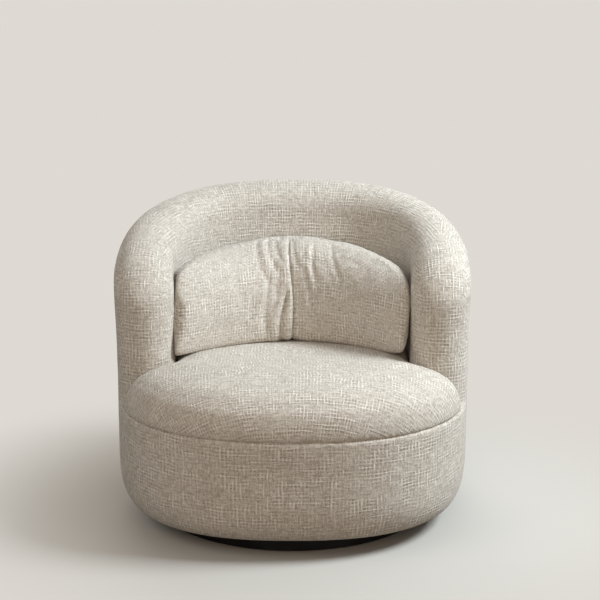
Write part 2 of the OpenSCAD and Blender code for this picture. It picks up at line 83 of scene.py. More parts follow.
class ShellSizes(bpy.types.PropertyGroup):
    """Sizes of the drum, the back and the arms."""
    half_w: length("Half width", DRUM_HIGH.x, "From the swivel axis to the outside of an arm")
    half_d: length("Half depth", DRUM_HIGH.y, "From the swivel axis to the outside of the back")
    plan_power: share("Plan power", 2.4, "Squareness of the plan, where 2 is an ellipse")
    drum_z: length("Drum bottom", DRUM_LOW.z, "Height of the drum's underside")
    seam_z: length("Seat seam", DRUM_HIGH.z, "Height of the seam between the drum and the seat")
    back_h: length("Back height", WALL_TOP, "Height of the rim at the centre of the back")
    arm_h: length("Arm height", 0.656, "Height of the rim over the middle of each arm")
    edge_w: length("Lower edge", 0.06, "How far the drum's lower edge draws in")
    edge_h: length("Lower edge height", 0.115, "Height over which the drum's lower edge draws in")
    edge_power: share("Lower edge power", 2.7, "Fullness of the drum's lower edge, where 2 is an ellipse")
    roll_r: length("Upper roll", 0.0025, "Roll of the drum's upper edge in front of the arms")
    waist: length("Waist", 0.0035, "How far the drum and the wall's foot are pulled in by the cloth")
    pad_t: length("Outside padding", 0.025, "Thickness of the padding on the outside")
    ledge_w: length("Seam ledge", 0.07, "How far the cloth runs in under the seat")
    ledge_t: length("Ledge thickness", 0.014, "Thickness of the padding that runs in under the seat")
    slot_t: length("Frame space", 0.035, "Depth of the space for the frame in the wall")
    wall_t: length("Wall", 0.14, "Thickness of the padded wall at its top")
    back_pitch: length("Back pitch", 0.06, "How much thicker the back is at the seat")
    arm_reach: length("Arm reach", 0.1, "How far each arm's straight wall runs in front of the axis")
    nose_r: length("Arm nose", 0.112, "Radius by which each arm's top rounds down to its front")
    voxel: length("Voxel", 0.006, "Cell of the mesh that fuses drum, back and arms")


class SeatSizes(bpy.types.PropertyGroup):
    """Sizes of the domed seat."""
    inset: length("Seam inset", 0.0032, "From the drum's outside to the seat seam")
    crown: length("Crown", 0.13, "Height of the crown above the seam")
    pitch: share("Pitch share", 0.36, "Share of the crown lost from front to back")
    fullness: share("Fullness", 9, "How full the shoulders are")
    centre_y: length("Centre", 0.06, "How far the dome's centre stands in front of the axis")
    voxel: length("Voxel", 0.007, "Cell of the seat's mesh")
    swell: length("Swell", 0.004, "Most that the stuffing may move the cloth")


class CushionSizes(bpy.types.PropertyGroup):
    """Sizes of the loose lumbar cushion."""
    height: length("Height", 0.234, "Height at the middle")
    thickness: length("Thickness", 0.2, "Thickness at the middle")
    side_gap: length("Side gap", 0.0025, "From each end to the arm")
    peak: length("Peak", 0.006, "How far the seam stands up at the top")
    slump: length("Slump", 0.012, "How far the top's right corner sinks")
    tuck: length("Tuck", 0.012, "How far the right end draws in at its foot")
    end_share: share("End share", 0.24, "How far forward the ends reach, as a share of the inside depth")
    corner_drop: length("Corner drop", 0.008, "How far the top's corners drop below its middle")
    lean: share("Lean", math.radians(12), "Lean of the cushion", unit="ROTATION", subtype="ANGLE")
    voxel: length("Voxel", 0.0048, "Cell of the cushion's mesh")
    swell: length("Swell", 0.01, "Most that the filling may move the cloth")


class Finishes(bpy.types.PropertyGroup):
    """Colours of the cloth, the frame and the fittings."""
    oatmeal: colour("Oatmeal", "#D3CDC3", "Mean colour of the slub linen")
    cream: colour("Cream", "#F4F0E8", "Slubs, which are thick soft stretches of yarn")
    umber: colour("Umber", "#83776A", "Gaps between the yarns")
    plinth: colour("Plinth", "#0B0B0B", "Black lacquer")
    floor: colour("Floor", "#DEDAD3", "Pale floor")
    floor_near: colour("Floor near the chair", "#BEBBB5", "The floor where the lamps light it")
    floor_bounce: colour("Floor's bounce", "#7A736B", "The floor as it lights the chair's underside")


GROUPS = {"chair_shell": ShellSizes, "chair_seat": SeatSizes, "chair_cushion": CushionSizes,
          "chair_finish": Finishes}


def sizes(group):
    """Plain copy of one property group."""
    held = getattr(bpy.context.scene, group)
    return SimpleNamespace(**{name: getattr(held, name) for name in GROUPS[group].__annotations__})


# Plan and section of the chair

def between(start, end, steps):
    return [start + (end - start) * i / steps for i in range(steps + 1)]


def smooth_step(low, high, value):
    t = min(1, max(0, (value - low) / (high - low)))
    return t * t * (3 - 2 * t)


def signed_power(value, power):
    return math.copysign(abs(value) ** power, value)


def bulge(value, power):
    """How far a superellipse of this power rises at a share of its run."""
    return max(0, 1 - abs(value) ** power) ** (1 / power)


def outline(s, t):
    """Outside of the plan at angle t."""
    return Vector((s.half_w * signed_power(math.cos(t), 2 / s.plan_power),
                   s.half_d * signed_power(math.sin(t), 2 / s.plan_power)))


def outward(s, t):
    at = outline(s, t)
    return Vector((signed_power(at.x / s.half_w, s.plan_power - 1) / s.half_w,
                   signed_power(at.y / s.half_d, s.plan_power - 1) / s.half_d)).normalized()


def plan_point(s, t, inset=0):
    return outline(s, t) - outward(s, t) * inset


def nose_angle(s):
    """Angle at which the straight wall of the right arm ends."""
    return -math.asin((s.arm_reach / s.half_d) ** (s.plan_power / 2))


def arm_end(s, side):
    """Centre and outward direction of the wall where an arm's front starts to round."""
    t = nose_angle(s) if side > 0 else math.pi - nose_angle(s)
    return plan_point(s, t, s.wall_t / 2), outward(s, t)


def rim_z(s, y):
    return s.arm_h + (s.back_h - s.arm_h) / (s.half_d - s.wall_t / 2) * y


def nose_fall(s, from_tip):
    """How far the arm's top falls at a distance from its front."""
    short = s.nose_r - from_tip
    return 0 if short <= 0 else s.nose_r - math.sqrt(max(0, s.nose_r ** 2 - short ** 2))


def wall_station(s, t, run_to):
    """One place along the wall, where a section is set up."""
    centre = plan_point(s, t, s.wall_t / 2)
    root = arm_end(s, 1 if centre.x > 0 else -1)[0]
    top = rim_z(s, centre.y) - nose_fall(s, s.wall_t / 2 + (centre - root).length)
    return SimpleNamespace(centre=centre, normal=outward(s, t), half=s.wall_t / 2, top=top,
                           pitch=max(0, math.sin(t)) ** 2, run=run_to(t))


def nose_station(s, side, turn, run_to):
    """One place round the front of an arm."""
    root, normal = arm_end(s, side)
    ahead = side * Vector((normal.y, -normal.x))
    r = s.wall_t / 2
    tip = root + ahead * r * math.sin(turn)
    start = run_to(nose_angle(s) if side > 0 else math.pi - nose_angle(s))
    return SimpleNamespace(centre=tip, normal=normal, half=r * math.cos(turn),
                           top=rim_z(s, tip.y) - nose_fall(s, r * (1 - math.sin(turn))),
                           pitch=0, run=start - side * r * turn)


def girth(s, steps=720):
    """Length round the wall's centre line, and a function that gives the length up to angle t."""
    turns = between(-math.pi / 2, 3 * math.pi / 2, steps)
    runs = [0]
    for a, b in zip(turns, turns[1:]):
        runs.append(runs[-1] + (plan_point(s, b, s.wall_t / 2) - plan_point(s, a, s.wall_t / 2)).length)

    def run_to(t):
        at = (t + math.pi / 2) / (2 * math.pi) * steps
        i = max(0, min(steps - 1, math.floor(at)))
        return runs[i] + (runs[i + 1] - runs[i]) * (at - i)

    return runs[-1], run_to


def wound(whole, run, level):
    """Place on a cloth that is wound into a tube of this girth, so that its ends meet."""
    turn = 2 * math.pi * run / whole
    reach = whole / (2 * math.pi)
    return Vector((reach * math.cos(turn), reach * math.sin(turn), level))


def over_arm(s, p, whole, cloth_share=0.2, flatter=0.96):
    """Place on the cloth that runs up an arm's front and back along its top. It lies at cloth_share of the
    girth, and flatter keeps its sides from the steep end of the arc."""
    side = math.copysign(1, p.x)
    root = arm_end(s, side)[0]
    r, reach = s.wall_t / 2, s.nose_r
    turn_y = root.y - r + reach
    turn_z = rim_z(s, turn_y) - reach
    back, up = turn_y - p.y, p.z - turn_z
    if up < 0:
        level = up
    elif back < 0:
        level = reach * math.pi / 2 - back
    else:
        level = reach * math.atan2(up, back)
    across = r * math.asin(max(-1, min(1, flatter * (p.x - root.x) / r)))
    return wound(whole, whole * cloth_share * side + across, turn_z + level)


def pulled_in(s, z, none=0.28, full=0.14):
    """How far the cloth is pulled in at a height, from none to full above the seam."""
    return s.waist * smooth_step(s.seam_z + none, s.seam_z + full, z)


WALL_STEPS = 132
NOSE_STEPS = 13
NOSE_END_SHARE = 0.985
NOSE_SLOT_SHARE = 0.1
DRUM_STEPS = 216


def wall_stations(s, run_to):
    turns = between(0, math.pi / 2 * NOSE_END_SHARE, NOSE_STEPS)[1:]
    start = nose_angle(s)
    return ([nose_station(s, 1, a, run_to) for a in reversed(turns)]
            + [wall_station(s, t, run_to) for t in between(start, math.pi - start, WALL_STEPS)]
            + [nose_station(s, -1, a, run_to) for a in turns])


def wall_section(s, at, whole, lap=0.006, sink=0.002):
    """Closed section of the padded wall at a station: a list of (point, place on the cloth)."""
    r = s.wall_t / 2
    spring = at.top - at.half
    slot = s.pad_t + s.slot_t * (NOSE_SLOT_SHARE if at.half < r else 1)
    foot = s.wall_t + s.back_pitch * at.pitch
    ring = [(0, z, z) for z in between(s.seam_z - lap, spring, 10)]
    ring += [(r * (1 - math.cos(a)), spring + at.half * math.sin(a), spring + at.half * min(a, math.pi - a))
             for a in between(0, math.pi, 26)[1:]]
    ring += list(zip(between(s.wall_t, foot, 12), between(spring, s.seam_z + sink, 12),
                     between(spring, s.seam_z, 12)))[1:]
    ring += [(slot, z, z) for z in between(s.seam_z + sink, spring, 5)]
    ring += [(s.pad_t, z, z) for z in between(spring, s.seam_z - lap, 5)]
    placed = []
    for across, z, level in ring:
        across = max(across, pulled_in(s, z))
        p = at.centre - at.normal * at.half * (across / r - 1)
        placed.append((Vector((p.x, p.y, z)), wound(whole, at.run, level)))
    return placed


def front_range(s):
    """Angles between which the drum's upper edge is free of the arms."""
    start = nose_angle(s) - 1.2 * math.asin(s.wall_t / 2 / s.half_d)
    return math.pi - start, 2 * math.pi + start


def drum_section(s, t, whole, run, soft=0.05, least_roll=0.0006):
    """Closed section of the drum's padding at angle t. Its upper edge's roll fades out within soft radians
    of an arm's foot."""
    start, end = front_range(s)
    free = smooth_step(start - soft, start + soft, t) * (1 - smooth_step(end - soft, end + soft, t))
    roll = least_roll + (s.roll_r - least_roll) * free
    top, under = s.seam_z - roll, s.seam_z - s.ledge_t
    bend = s.drum_z + s.edge_h
    power = 2 / s.edge_power
    ring = [(s.ledge_w, s.seam_z)]
    ring += [(roll * (1 - math.cos(a)), top + roll * math.sin(a)) for a in between(math.pi / 2, 0, 6)]
    ring += [(0, z) for z in between(top, bend, 12)[1:]]
    ring += [(s.edge_w * (1 - math.cos(a) ** power), bend - s.edge_h * math.sin(a) ** power)
             for a in between(0, math.pi / 2, 18)[1:]]
    ring += [(s.edge_w, DECK_TOP), (s.pad_t, bend), (s.pad_t, under), (s.ledge_w, under)]
    placed = []
    level = s.seam_z + s.ledge_w
    for i, (inset, z) in enumerate(ring):
        level -= math.dist(ring[i], ring[i - 1]) if i else 0
        p = plan_point(s, t, inset + pulled_in(s, z) if inset < s.pad_t else inset)
        placed.append((Vector((p.x, p.y, z)), wound(whole, run, level)))
    return placed


# Mesh helpers

def wrapped(rings, closed=False):
    """A grid wrapped round equal rings of (point, cloth place), with its seams and ends closed."""
    bm = bmesh.new()
    rows, columns = len(rings) + closed, len(rings[0]) + 1
    bmesh.ops.create_grid(bm, x_segments=columns - 1, y_segments=rows - 1, size=0.5)
    for v in bm.verts:
        i = round((v.co.y + 0.5) * (rows - 1)) % len(rings)
        j = round((v.co.x + 0.5) * (columns - 1)) % len(rings[0])
        v.co = rings[i][j][0]
    bmesh.ops.remove_doubles(bm, verts=bm.verts, dist=1e-6)
    if not closed:
        bmesh.ops.holes_fill(bm, edges=[e for e in bm.edges if e.is_boundary], sides=0)
    bmesh.ops.recalc_face_normals(bm, faces=bm.faces)
    return bm


def new_object(name, data):
    obj = bpy.data.objects.new(name, data)
    bpy.context.scene.collection.objects.link(obj)
    return obj


def new_piece(name, bms):
    """An object at the origin that holds the joined bmeshes."""
    mesh = bpy.data.meshes.new(name)
    joined = bmesh.new()
    for bm in bms:
        part = bpy.data.meshes.new("part")
        bm.to_mesh(part)
        bm.free()
        joined.from_mesh(part)
        bpy.data.meshes.remove(part)
    joined.to_mesh(mesh)
    joined.free()
    return new_object(name, mesh)


def apply_modifiers(obj):
    evaluated = obj.evaluated_get(bpy.context.evaluated_depsgraph_get())
    mesh = bpy.data.meshes.new_from_object(evaluated)
    obj.modifiers.clear()
    old, name = obj.data, obj.data.name
    obj.data = mesh
    bpy.data.meshes.remove(old)
    mesh.name = name


def remesh(obj, voxel):
    """Fuses the object's solids into one even mesh."""
    cells = obj.modifiers.new("Voxels", "REMESH")
    cells.mode = "VOXEL"
    cells.voxel_size = voxel
    apply_modifiers(obj)


def relax(obj, rounds):
    """Smooths the vertices."""
    bm = bmesh.new()
    bm.from_mesh(obj.data)
    for _ in range(rounds):
        bmesh.ops.smooth_vert(
            bm, verts=bm.verts, factor=0.5, use_axis_x=True, use_axis_y=True, use_axis_z=True)
    bm.to_mesh(obj.data)
    bm.free()


def shift_vertices(obj, move):
    """Moves each vertex by move(place, normal)."""
    mesh = obj.data
    moved = [v.co + move(v.co, v.normal) for v in mesh.vertices]
    for v, co in zip(mesh.vertices, moved):
        v.co = co
    mesh.update()


def snap(obj, source, hold):
    """Draws the vertices back onto the surface they were made from, by the share that hold(place) gives."""
    surface = bvhtree.BVHTree.FromBMesh(source)

    def move(p, n):
        amount = hold(p)
        return (surface.find_nearest(p)[0] - p) * amount if amount > 0 else Vector((0, 0, 0))

    shift_vertices(obj, move)
    source.free()


def subdivide(obj):
    obj.modifiers.new("Subdivision", "SUBSURF").levels = 1
    apply_modifiers(obj)


def lay_cloth(obj, grids, linen, over=None, reach=1.5):
    """Covers obj with linen, and writes on each face's corners where they lie on the woven cloth, from
    grids of (point, cloth place), which are read to reach cells past their points. over(place, normal) may
    give a function for the faces that lie on another part of the cloth."""
    known = []
    for grid in grids:
        for i in range(len(grid) - 1):
            for j in range(len(grid[0]) - 1):
                point, place = grid[i][j]
                legs = [(grid[a][b][0] - point, grid[a][b][1] - place) for a, b in ((i + 1, j), (i, j + 1))]
                known.append((point, place, [leg for leg in legs if leg[0].length > 1e-5]))
    tree = kdtree.KDTree(len(known))
    for k, (point, _, _) in enumerate(known):
        tree.insert(point, k)
    tree.balance()
    places = []
    for v in obj.data.vertices:
        point, place, legs = known[tree.find(v.co)[1]]
        at = place.copy()
        for leg, change in legs:
            at += change * max(-reach, min(reach, (v.co - point).dot(leg) / leg.length_squared))
        places.append(at)
    flat = []
    for face in obj.data.polygons:
        other = over(face.center, face.normal) if over else None
        for i in face.vertices:
            flat.extend(other(obj.data.vertices[i].co) if other else places[i])
    layer = obj.data.attributes.new("cloth", "FLOAT_VECTOR", "CORNER")
    layer.data.foreach_set("vector", flat)
    obj.data.polygons.foreach_set("use_smooth", [True] * len(obj.data.polygons))
    obj.data.materials.append(linen)


CLOTH = {"quality": 5, "mass": 0.4, "tension_stiffness": 12, "compression_stiffness": 12,
         "shear_stiffness": 6, "bending_stiffness": 0.6, "use_pressure": True, "uniform_pressure_force": 4}


def swell(obj, free, most, frames=20):
    """Fills obj like a stuffed case. free gives 1 where the cloth may move and 0 where it is held, and no
    vertex moves further than most."""
    mesh = obj.data
    rest = [v.co.copy() for v in mesh.vertices]
    loose = [free(v.co, v.normal) for v in mesh.vertices]
    held = obj.vertex_groups.new(name="held")
    for i, amount in enumerate(loose):
        held.add([i], 1 - amount, "REPLACE")
    cloth = obj.modifiers.new("Cloth", "CLOTH")
    for key, value in CLOTH.items():
        setattr(cloth.settings, key, value)
    cloth.settings.effector_weights.gravity = 0
    cloth.settings.vertex_group_mass = "held"
    cloth.collision_settings.use_collision = False
    cloth.point_cache.frame_start = 1
    cloth.point_cache.frame_end = frames
    scene = bpy.context.scene
    for f in range(1, frames + 1):
        scene.frame_set(f)
    evaluated = obj.evaluated_get(bpy.context.evaluated_depsgraph_get())
    swollen = [v.co.copy() for v in evaluated.data.vertices]
    obj.modifiers.clear()
    obj.vertex_groups.clear()
    scene.frame_set(1)
    for v, start, end, amount in zip(mesh.vertices, rest, swollen, loose):
        step = end - start
        if step.length > most:
            step *= most / step.length
        v.co = start + step * amount
    mesh.update()


def unevenness(p, size, seed):
    """Soft noise from -1 to 1 with lumps of about this size."""
    return noise.noise(p / size + Vector((seed, 2 * seed, 3 * seed)))


# Materials

def add(tree, kind, inputs=None, **settings):
    """Adds a shader node with its settings, and links or sets its inputs. A colour may be in hex."""
    node = tree.nodes.new("ShaderNode" + kind)
    for key, value in settings.items():
        setattr(node, key, value)
    for key, value in (inputs or {}).items():
        if isinstance(value, bpy.types.NodeSocket):
            tree.links.new(value, node.inputs[key])
        else:
            node.inputs[key].default_value = linear(value) if isinstance(value, str) else value
    return node


def empty_tree(owner):
    """The node tree of a material or a world, without nodes."""
    owner.use_nodes = True
    owner.node_tree.nodes.clear()
    return owner.node_tree


def new_material(name, shader):
    """A material with one Principled shader, whose constants are set on its own sockets."""
    material = bpy.data.materials.new(name)
    tree = empty_tree(material)
    add(tree, "OutputMaterial", {"Surface": add(tree, "BsdfPrincipled", shader).outputs[0]})
    return material, tree


def dress(material, base=None, rough=None, bump=None):
    """Links a colour, a roughness and a bump of (height, strength, depth) to a material's shader."""
    tree = material.node_tree
    body = tree.nodes["Principled BSDF"]
    if bump:
        height, strength, depth = bump
        bump = add(tree, "Bump", {"Height": height, "Strength": strength, "Distance": depth}).outputs[0]
    for key, value in {"Base Color": base, "Roughness": rough, "Normal": bump}.items():
        if value is not None:
            tree.links.new(value, body.inputs[key])
    return material


def object_place(tree):
    return add(tree, "TexCoord").outputs["Object"]


# A helper that is given a socket adds its nodes to the socket's tree.

def split(vector):
    return add(vector.id_data, "SeparateXYZ", {0: vector}).outputs


def grain(vector, mm, detail=2.0, roughness=0.55, distortion=0.0):
    """Noise over a vector in metres, with grains of these millimetres along each axis."""
    tree = vector.id_data
    cells = add(tree, "VectorMath", {0: vector, 1: [1000 / size for size in mm]}, operation="MULTIPLY")
    return add(tree, "TexNoise", {"Vector": cells.outputs[0], "Scale": 1.0, "Detail": detail,
                                  "Roughness": roughness, "Distortion": distortion}).outputs


def over_object(tree, mm, **settings):
    return grain(object_place(tree), mm, **settings)[0]


def ramped(value, low, high, start=0.0, end=1.0):
    return add(value.id_data, "MapRange", {0: value, 1: low, 2: high, 3: start, 4: end},
               interpolation_type="SMOOTHSTEP").outputs[0]


def mixed(factor, first, second):
    return add(factor.id_data, "Mix", {0: factor, 6: first, 7: second}, data_type="RGBA").outputs[2]


def calc(operation, *values):
    tree = next(value for value in values if isinstance(value, bpy.types.NodeSocket)).id_data
    return add(tree, "Math", dict(enumerate(values)), operation=operation).outputs[0]


def times(first, *others):
    for other in others:
        first = calc("MULTIPLY", first, other)
    return first


def ridges(turns):
    """Rounded yarns, one for each whole turn: 1 on a yarn's back and 0 between two yarns."""
    return calc("MULTIPLY_ADD", calc("COSINE", times(turns, 2 * math.pi)), 0.5, 0.5)


def slub_linen(name, whole=None):
    """Slub linen and chenille blend in an open plain weave. Thick cream stretches of yarn, the slubs, run
    in and out of a finer greige ground, so the eye sees dotted level ticks and long upright streaks over a
    mottled crosshatch. The coarse yarns are 8 mm apart, and each slub is about 3 mm thick. The ground's own
    yarns are about 1 mm thick, and are drawn 2 mm thick so that they show at the size of the picture. On a
    piece that the cloth is wound round, whole is the girth of the wound cloth."""
    finish = sizes("chair_finish")
    warp_pitch, weft_pitch, ground, wander = 7.6, 8.4, 2.0, 0.008
    material, tree = new_material(name, {
        "Roughness": 0.92, "Sheen Weight": 0.15, "Sheen Roughness": 0.45, "Specular IOR Level": 0.25})
    flat = split(object_place(tree))
    cloth = add(tree, "Attribute", attribute_name="cloth", attribute_type="GEOMETRY").outputs["Vector"]
    spot = split(cloth)
    across = spot[0]
    if whole:
        across = times(calc("ARCTAN2", spot[1], spot[0]), whole / (2 * math.pi))
        warp_pitch = 1000 * whole / round(1000 * whole / warp_pitch)
    # The yarns wander by about 2 mm, as hand-woven ones do.
    drift = split(grain(cloth, (60, 60, 60), detail=1.0, roughness=0.5)["Color"])
    warp_turns, weft_turns = [
        times(calc("MULTIPLY_ADD", drift[i], wander, run), 1000 / pitch)
        for i, run, pitch in ((0, across, warp_pitch), (1, spot[2], weft_pitch))]
    warp_back, weft_back = ridges(warp_turns), ridges(weft_turns)
    # Each yarn has its own slubs: the noise is read at the yarn's number, and runs along the yarn.
    warp_number = times(calc("ROUND", warp_turns), 7.31)
    weft_number = times(calc("ROUND", weft_turns), 5.77)

    def on_yarn(*place):
        at = add(tree, "CombineXYZ", dict(enumerate(place))).outputs[0]
        return grain(at, (1000, 1000, 1000), detail=1.0)[0]

    def on_cloth(*mm, roughness=0.55):
        return grain(cloth, mm, roughness=roughness)[0]

    warp_slub, warp_nub = [on_yarn(warp_number, times(spot[2], 1000 / mm), mm) for mm in (40, 11)]
    weft_slub, weft_nub = [
        on_yarn(times(flat[0], 1000 / mm), times(flat[1], 1000 / mm), weft_number) for mm in (56, 9)]
    # In places the ground yarns close over the coarse ones, and the grid all but goes.
    coarse = ramped(on_cloth(64, 64, 30, roughness=0.6), 0.42, 0.56, 0.3, 1.0)
    patches = on_cloth(48, 48, 34, roughness=0.6)
    mottle = calc("ADD", on_cloth(ground, ground, 6 * ground), on_cloth(7 * ground, 7 * ground, ground))

    hollows = times(*(calc("SUBTRACT", 1.0, back) for back in (warp_back, weft_back)))
    gaps = times(ramped(hollows, 0.1, 0.9), coarse, ramped(weft_slub, 0.42, 0.6, 0.35, 1.0))
    streaks = times(ramped(warp_back, 0.5, 1.0), ramped(warp_slub, 0.53, 0.64))
    dots = times(ramped(weft_back, 0.5, 1.0), ramped(weft_slub, 0.5, 0.6),
                 ramped(warp_back, 0.0, 1.0, 0.3, 1.0))
    nubs = calc("MAXIMUM", *(
        times(ramped(back, 0.4, 1.0), ramped(nub, 0.5, 0.75), 0.7)
        for back, nub in ((warp_back, warp_nub), (weft_back, weft_nub))))
    bright = times(calc("MAXIMUM", calc("MAXIMUM", streaks, dots), nubs), coarse)

    base = mixed(ramped(mottle, 0.74, 1.24, 0.64, 0.0), finish.oatmeal, finish.umber)
    for share_of_tone, tone in ((times(gaps, 0.55), finish.umber),
                                (ramped(patches, 0.5, 0.7, 0.0, 0.12), finish.umber),
                                (times(bright, 0.56), finish.cream)):
        base = mixed(share_of_tone, base, tone)
    height = calc("ADD", times(mottle, 0.5), times(bright, 0.8))
    height = calc("SUBTRACT", height, times(gaps, 0.6))
    return dress(material, base, bump=(height, 0.6, 0.0012))


def lacquered_board():
    """Board sprayed with a satin black lacquer. It gives a soft sheen with a faint orange peel."""
    black = sizes("chair_finish").plinth
    material, tree = new_material("satin_lacquered_board", {"Specular IOR Level": 0.3, "Base Color": black})
    peel = over_object(tree, (3, 3, 3))
    dust = over_object(tree, (60, 60, 60), detail=4.0)
    base = mixed(ramped(dust, 0.45, 0.75, 0.0, 0.06), black, "#3A3631")
    return dress(material, base, ramped(dust, 0.4, 0.7, 0.36, 0.55), (peel, 0.12, 0.0004))


def moulded_polypropylene():
    """Black polypropylene, moulded. It gives a dull skin with fine scuffs from the floor."""
    material, tree = new_material("moulded_polypropylene", {"Roughness": 0.55, "IOR": 1.49})
    scuffs = over_object(tree, (1.2, 14, 4), detail=3.0)
    base = mixed(ramped(scuffs, 0.5, 0.75, 0, 0.35), "#1A1A1B", "#5A5856")
    return dress(material, base, ramped(scuffs, 0.4, 0.7, 0.48, 0.7), (scuffs, 0.2, 0.0003))


def zinc_plated_steel():
    """Pressed steel with bright zinc plating. It gives a bluish grey with cloudy spangle and draw marks."""
    material, tree = new_material("zinc_plated_steel", {"Metallic": 1.0, "Roughness": 0.34})
    clouds = over_object(tree, (16, 16, 16), detail=4.0)
    marks = over_object(tree, (40, 0.8, 6))
    base = mixed(ramped(clouds, 0.35, 0.65), "#AEB2B8", "#D3D5D6")
    rough = calc("ADD", ramped(clouds, 0.3, 0.7, 0.26, 0.38), ramped(marks, 0.4, 0.7, 0, 0.1))
    return dress(material, base, rough, (marks, 0.08, 0.0002))


def bearing_steel():
    """Chrome steel balls, ground and lapped under oil. They give sharp reflections with a film of grease."""
    material, tree = new_material("lapped_bearing_steel", {"Metallic": 1.0})
    film = over_object(tree, (5, 5, 5), detail=3.0)
    base = mixed(ramped(film, 0.4, 0.7, 0, 0.4), "#DCDDDF", "#B4A98E")
    return dress(material, base, ramped(film, 0.4, 0.7, 0.08, 0.24))


def spring_wire():
    """Drawn high-carbon spring wire, oiled. It gives a dark grey with draw lines along the wire."""
    material, tree = new_material("oiled_spring_wire", {"Metallic": 1.0})
    film = over_object(tree, (2, 9, 2), detail=3.0)
    base = mixed(ramped(film, 0.35, 0.7), "#54565A", "#8A8578")
    return dress(material, base, ramped(film, 0.35, 0.7, 0.3, 0.46))


def birch_plywood():
    """Sanded birch plywood, unfinished. It gives pale cathedral grain with fine dark pores, and veneers of
    about 1.5 mm on the edges."""
    material, tree = new_material("sanded_birch_plywood", {"Roughness": 0.62})
    figure = over_object(tree, (32, 260, 60), detail=3.0, distortion=0.6)
    pores = over_object(tree, (0.9, 12, 2))
    rings = calc("SINE", times(figure, 60.0))
    two_veneers = 0.003
    veneers = calc("SINE", times(split(object_place(tree))[2], 2 * math.pi / two_veneers))
    upright = split(add(tree, "NewGeometry").outputs["Normal"])[2]
    edge = calc("SUBTRACT", 1.0, calc("ABSOLUTE", upright))
    wood = mixed(ramped(rings, -1, 1, 0.1, 0.7), "#DDBF92", "#C79F6C")
    wood = mixed(ramped(pores, 0.30, 0.42, 0.45, 0), wood, "#9B7646")
    wood = mixed(times(ramped(veneers, 0.2, 0.9), edge, 0.55), wood, "#8A673E")
    return dress(material, wood, ramped(pores, 0.3, 0.6, 0.72, 0.56), (pores, 0.18, 0.0003))


def spun_cloth():
    """Black spun-bonded polypropylene cloth. It gives a flat black with a fine pressed dimple pattern."""
    material, tree = new_material("spun_bonded_cloth", {"Roughness": 0.88, "Sheen Weight": 0.1})
    dimples_per_m = 400
    dimples = add(tree, "TexVoronoi", {"Vector": object_place(tree), "Scale": dimples_per_m}).outputs[0]
    fibres = over_object(tree, (6, 6, 6), detail=5.0, roughness=0.7)
    base = mixed(ramped(fibres, 0.35, 0.7), "#141415", "#2A2A2B")
    return dress(material, base, ramped(fibres, 0.3, 0.7, 0.82, 0.94), (dimples, 0.4, 0.0004))


# Pieces

class CHAIR_OT_upholster_shell(bpy.types.Operator):
    """Covers the drum, the back and the arms with one close-fitting skin of padding and cloth"""
    bl_idname = "chair.upholster_shell"
    bl_label = "Upholster Shell"

    def execute(self, context):
        s = sizes("chair_shell")
        whole, run_to = girth(s)
        wall = [wall_section(s, at, whole) for at in wall_stations(s, run_to)]
        turns = between(-math.pi / 2, 3 * math.pi / 2, DRUM_STEPS)[:-1]
        drum = [drum_section(s, t % (2 * math.pi), whole, run_to(t)) for t in turns]
        skin = new_piece("upholstery_skin", [wrapped(wall), wrapped(drum, closed=True)])
        remesh(skin, s.voxel)
        relax(skin, 7)
        start, end = front_range(s)

        def hold(p):
            """The seam's edge in front of the arms is pulled tight."""
            turn = math.atan2(p.y / s.half_d, p.x / s.half_w) % (2 * math.pi)
            free = smooth_step(start, start + 0.1, turn) * (1 - smooth_step(end - 0.1, end, turn))
            return free * smooth_step(s.seam_z - 0.04, s.seam_z - 0.02, p.z) * (p.z < s.seam_z + 0.004)

        snap(skin, wrapped(drum, closed=True), hold)

        def settle(p, n):
            """The padding is a little uneven, but stays clear of the plinth."""
            amount = 0.0011 * unevenness(p, 0.13, 3) + 0.0004 * unevenness(p, 0.04, 5)
            return n * amount * smooth_step(s.drum_z + 0.02, s.drum_z + 0.07, p.z)

        shift_vertices(skin, settle)
        tip_y = arm_end(s, 1)[0].y - s.wall_t / 2

        def over(p, n):
            """The cloth of the arm's front and top takes over where it faces forwards or up."""
            stray = unevenness(p, 0.03, 23)
            front = p.z > s.seam_z and p.y < tip_y + 0.15 + 0.03 * stray
            return (lambda q: over_arm(s, q, whole)) if front and abs(n.x) < 0.62 + 0.1 * stray else None

        lay_cloth(skin, [wall, drum + drum[:1]], slub_linen("slub_linen_shell", whole), over)
        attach(skin, "chair")
        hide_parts("drum_padding", "outer_wall_padding", "inner_wall_padding")
        return {"FINISHED"}


def seat_outline(s, d, wall_gap=0.001):
    """The seat's plan: round the inside of the wall, past each arm's front, and along the drum's edge."""
    start = nose_angle(s)
    root, normal = arm_end(s, 1)
    turn = math.atan2(normal.y, normal.x)
    reach = s.wall_t / 2 + wall_gap

    def by_nose(side, share):
        a = turn + math.pi + math.radians(86) * share
        return Vector((side * (root.x + reach * math.cos(a)), root.y + reach * math.sin(a)))

    edge = [plan_point(s, t, s.wall_t + s.back_pitch * max(0, math.sin(t)) ** 2 + wall_gap)
            for t in between(start, math.pi - start, 96)]
    edge += [by_nose(-1, i / 14) for i in range(1, 15)]
    edge += [plan_point(s, t, d.inset) for t in between(*front_range(s), 110)]
    edge += [by_nose(1, i / 14) for i in range(14, 0, -1)]
    return edge


# How far out on its dome the seat's edge lies, so that the edge isn't upright.
SEAT_EDGE_SHARE = 0.985


def seat_top(s, d, x, y):
    """Height of the seat's domed top."""
    w, h = s.half_w - d.inset, s.half_d - d.inset
    out = (abs(x / w) ** s.plan_power + abs(y / h) ** s.plan_power) ** (1 / s.plan_power)
    out = min(1, out) * SEAT_EDGE_SHARE
    return s.seam_z + d.crown * math.sqrt(1 - out ** d.fullness) * (1 - d.pitch * (y + h) / (2 * h))


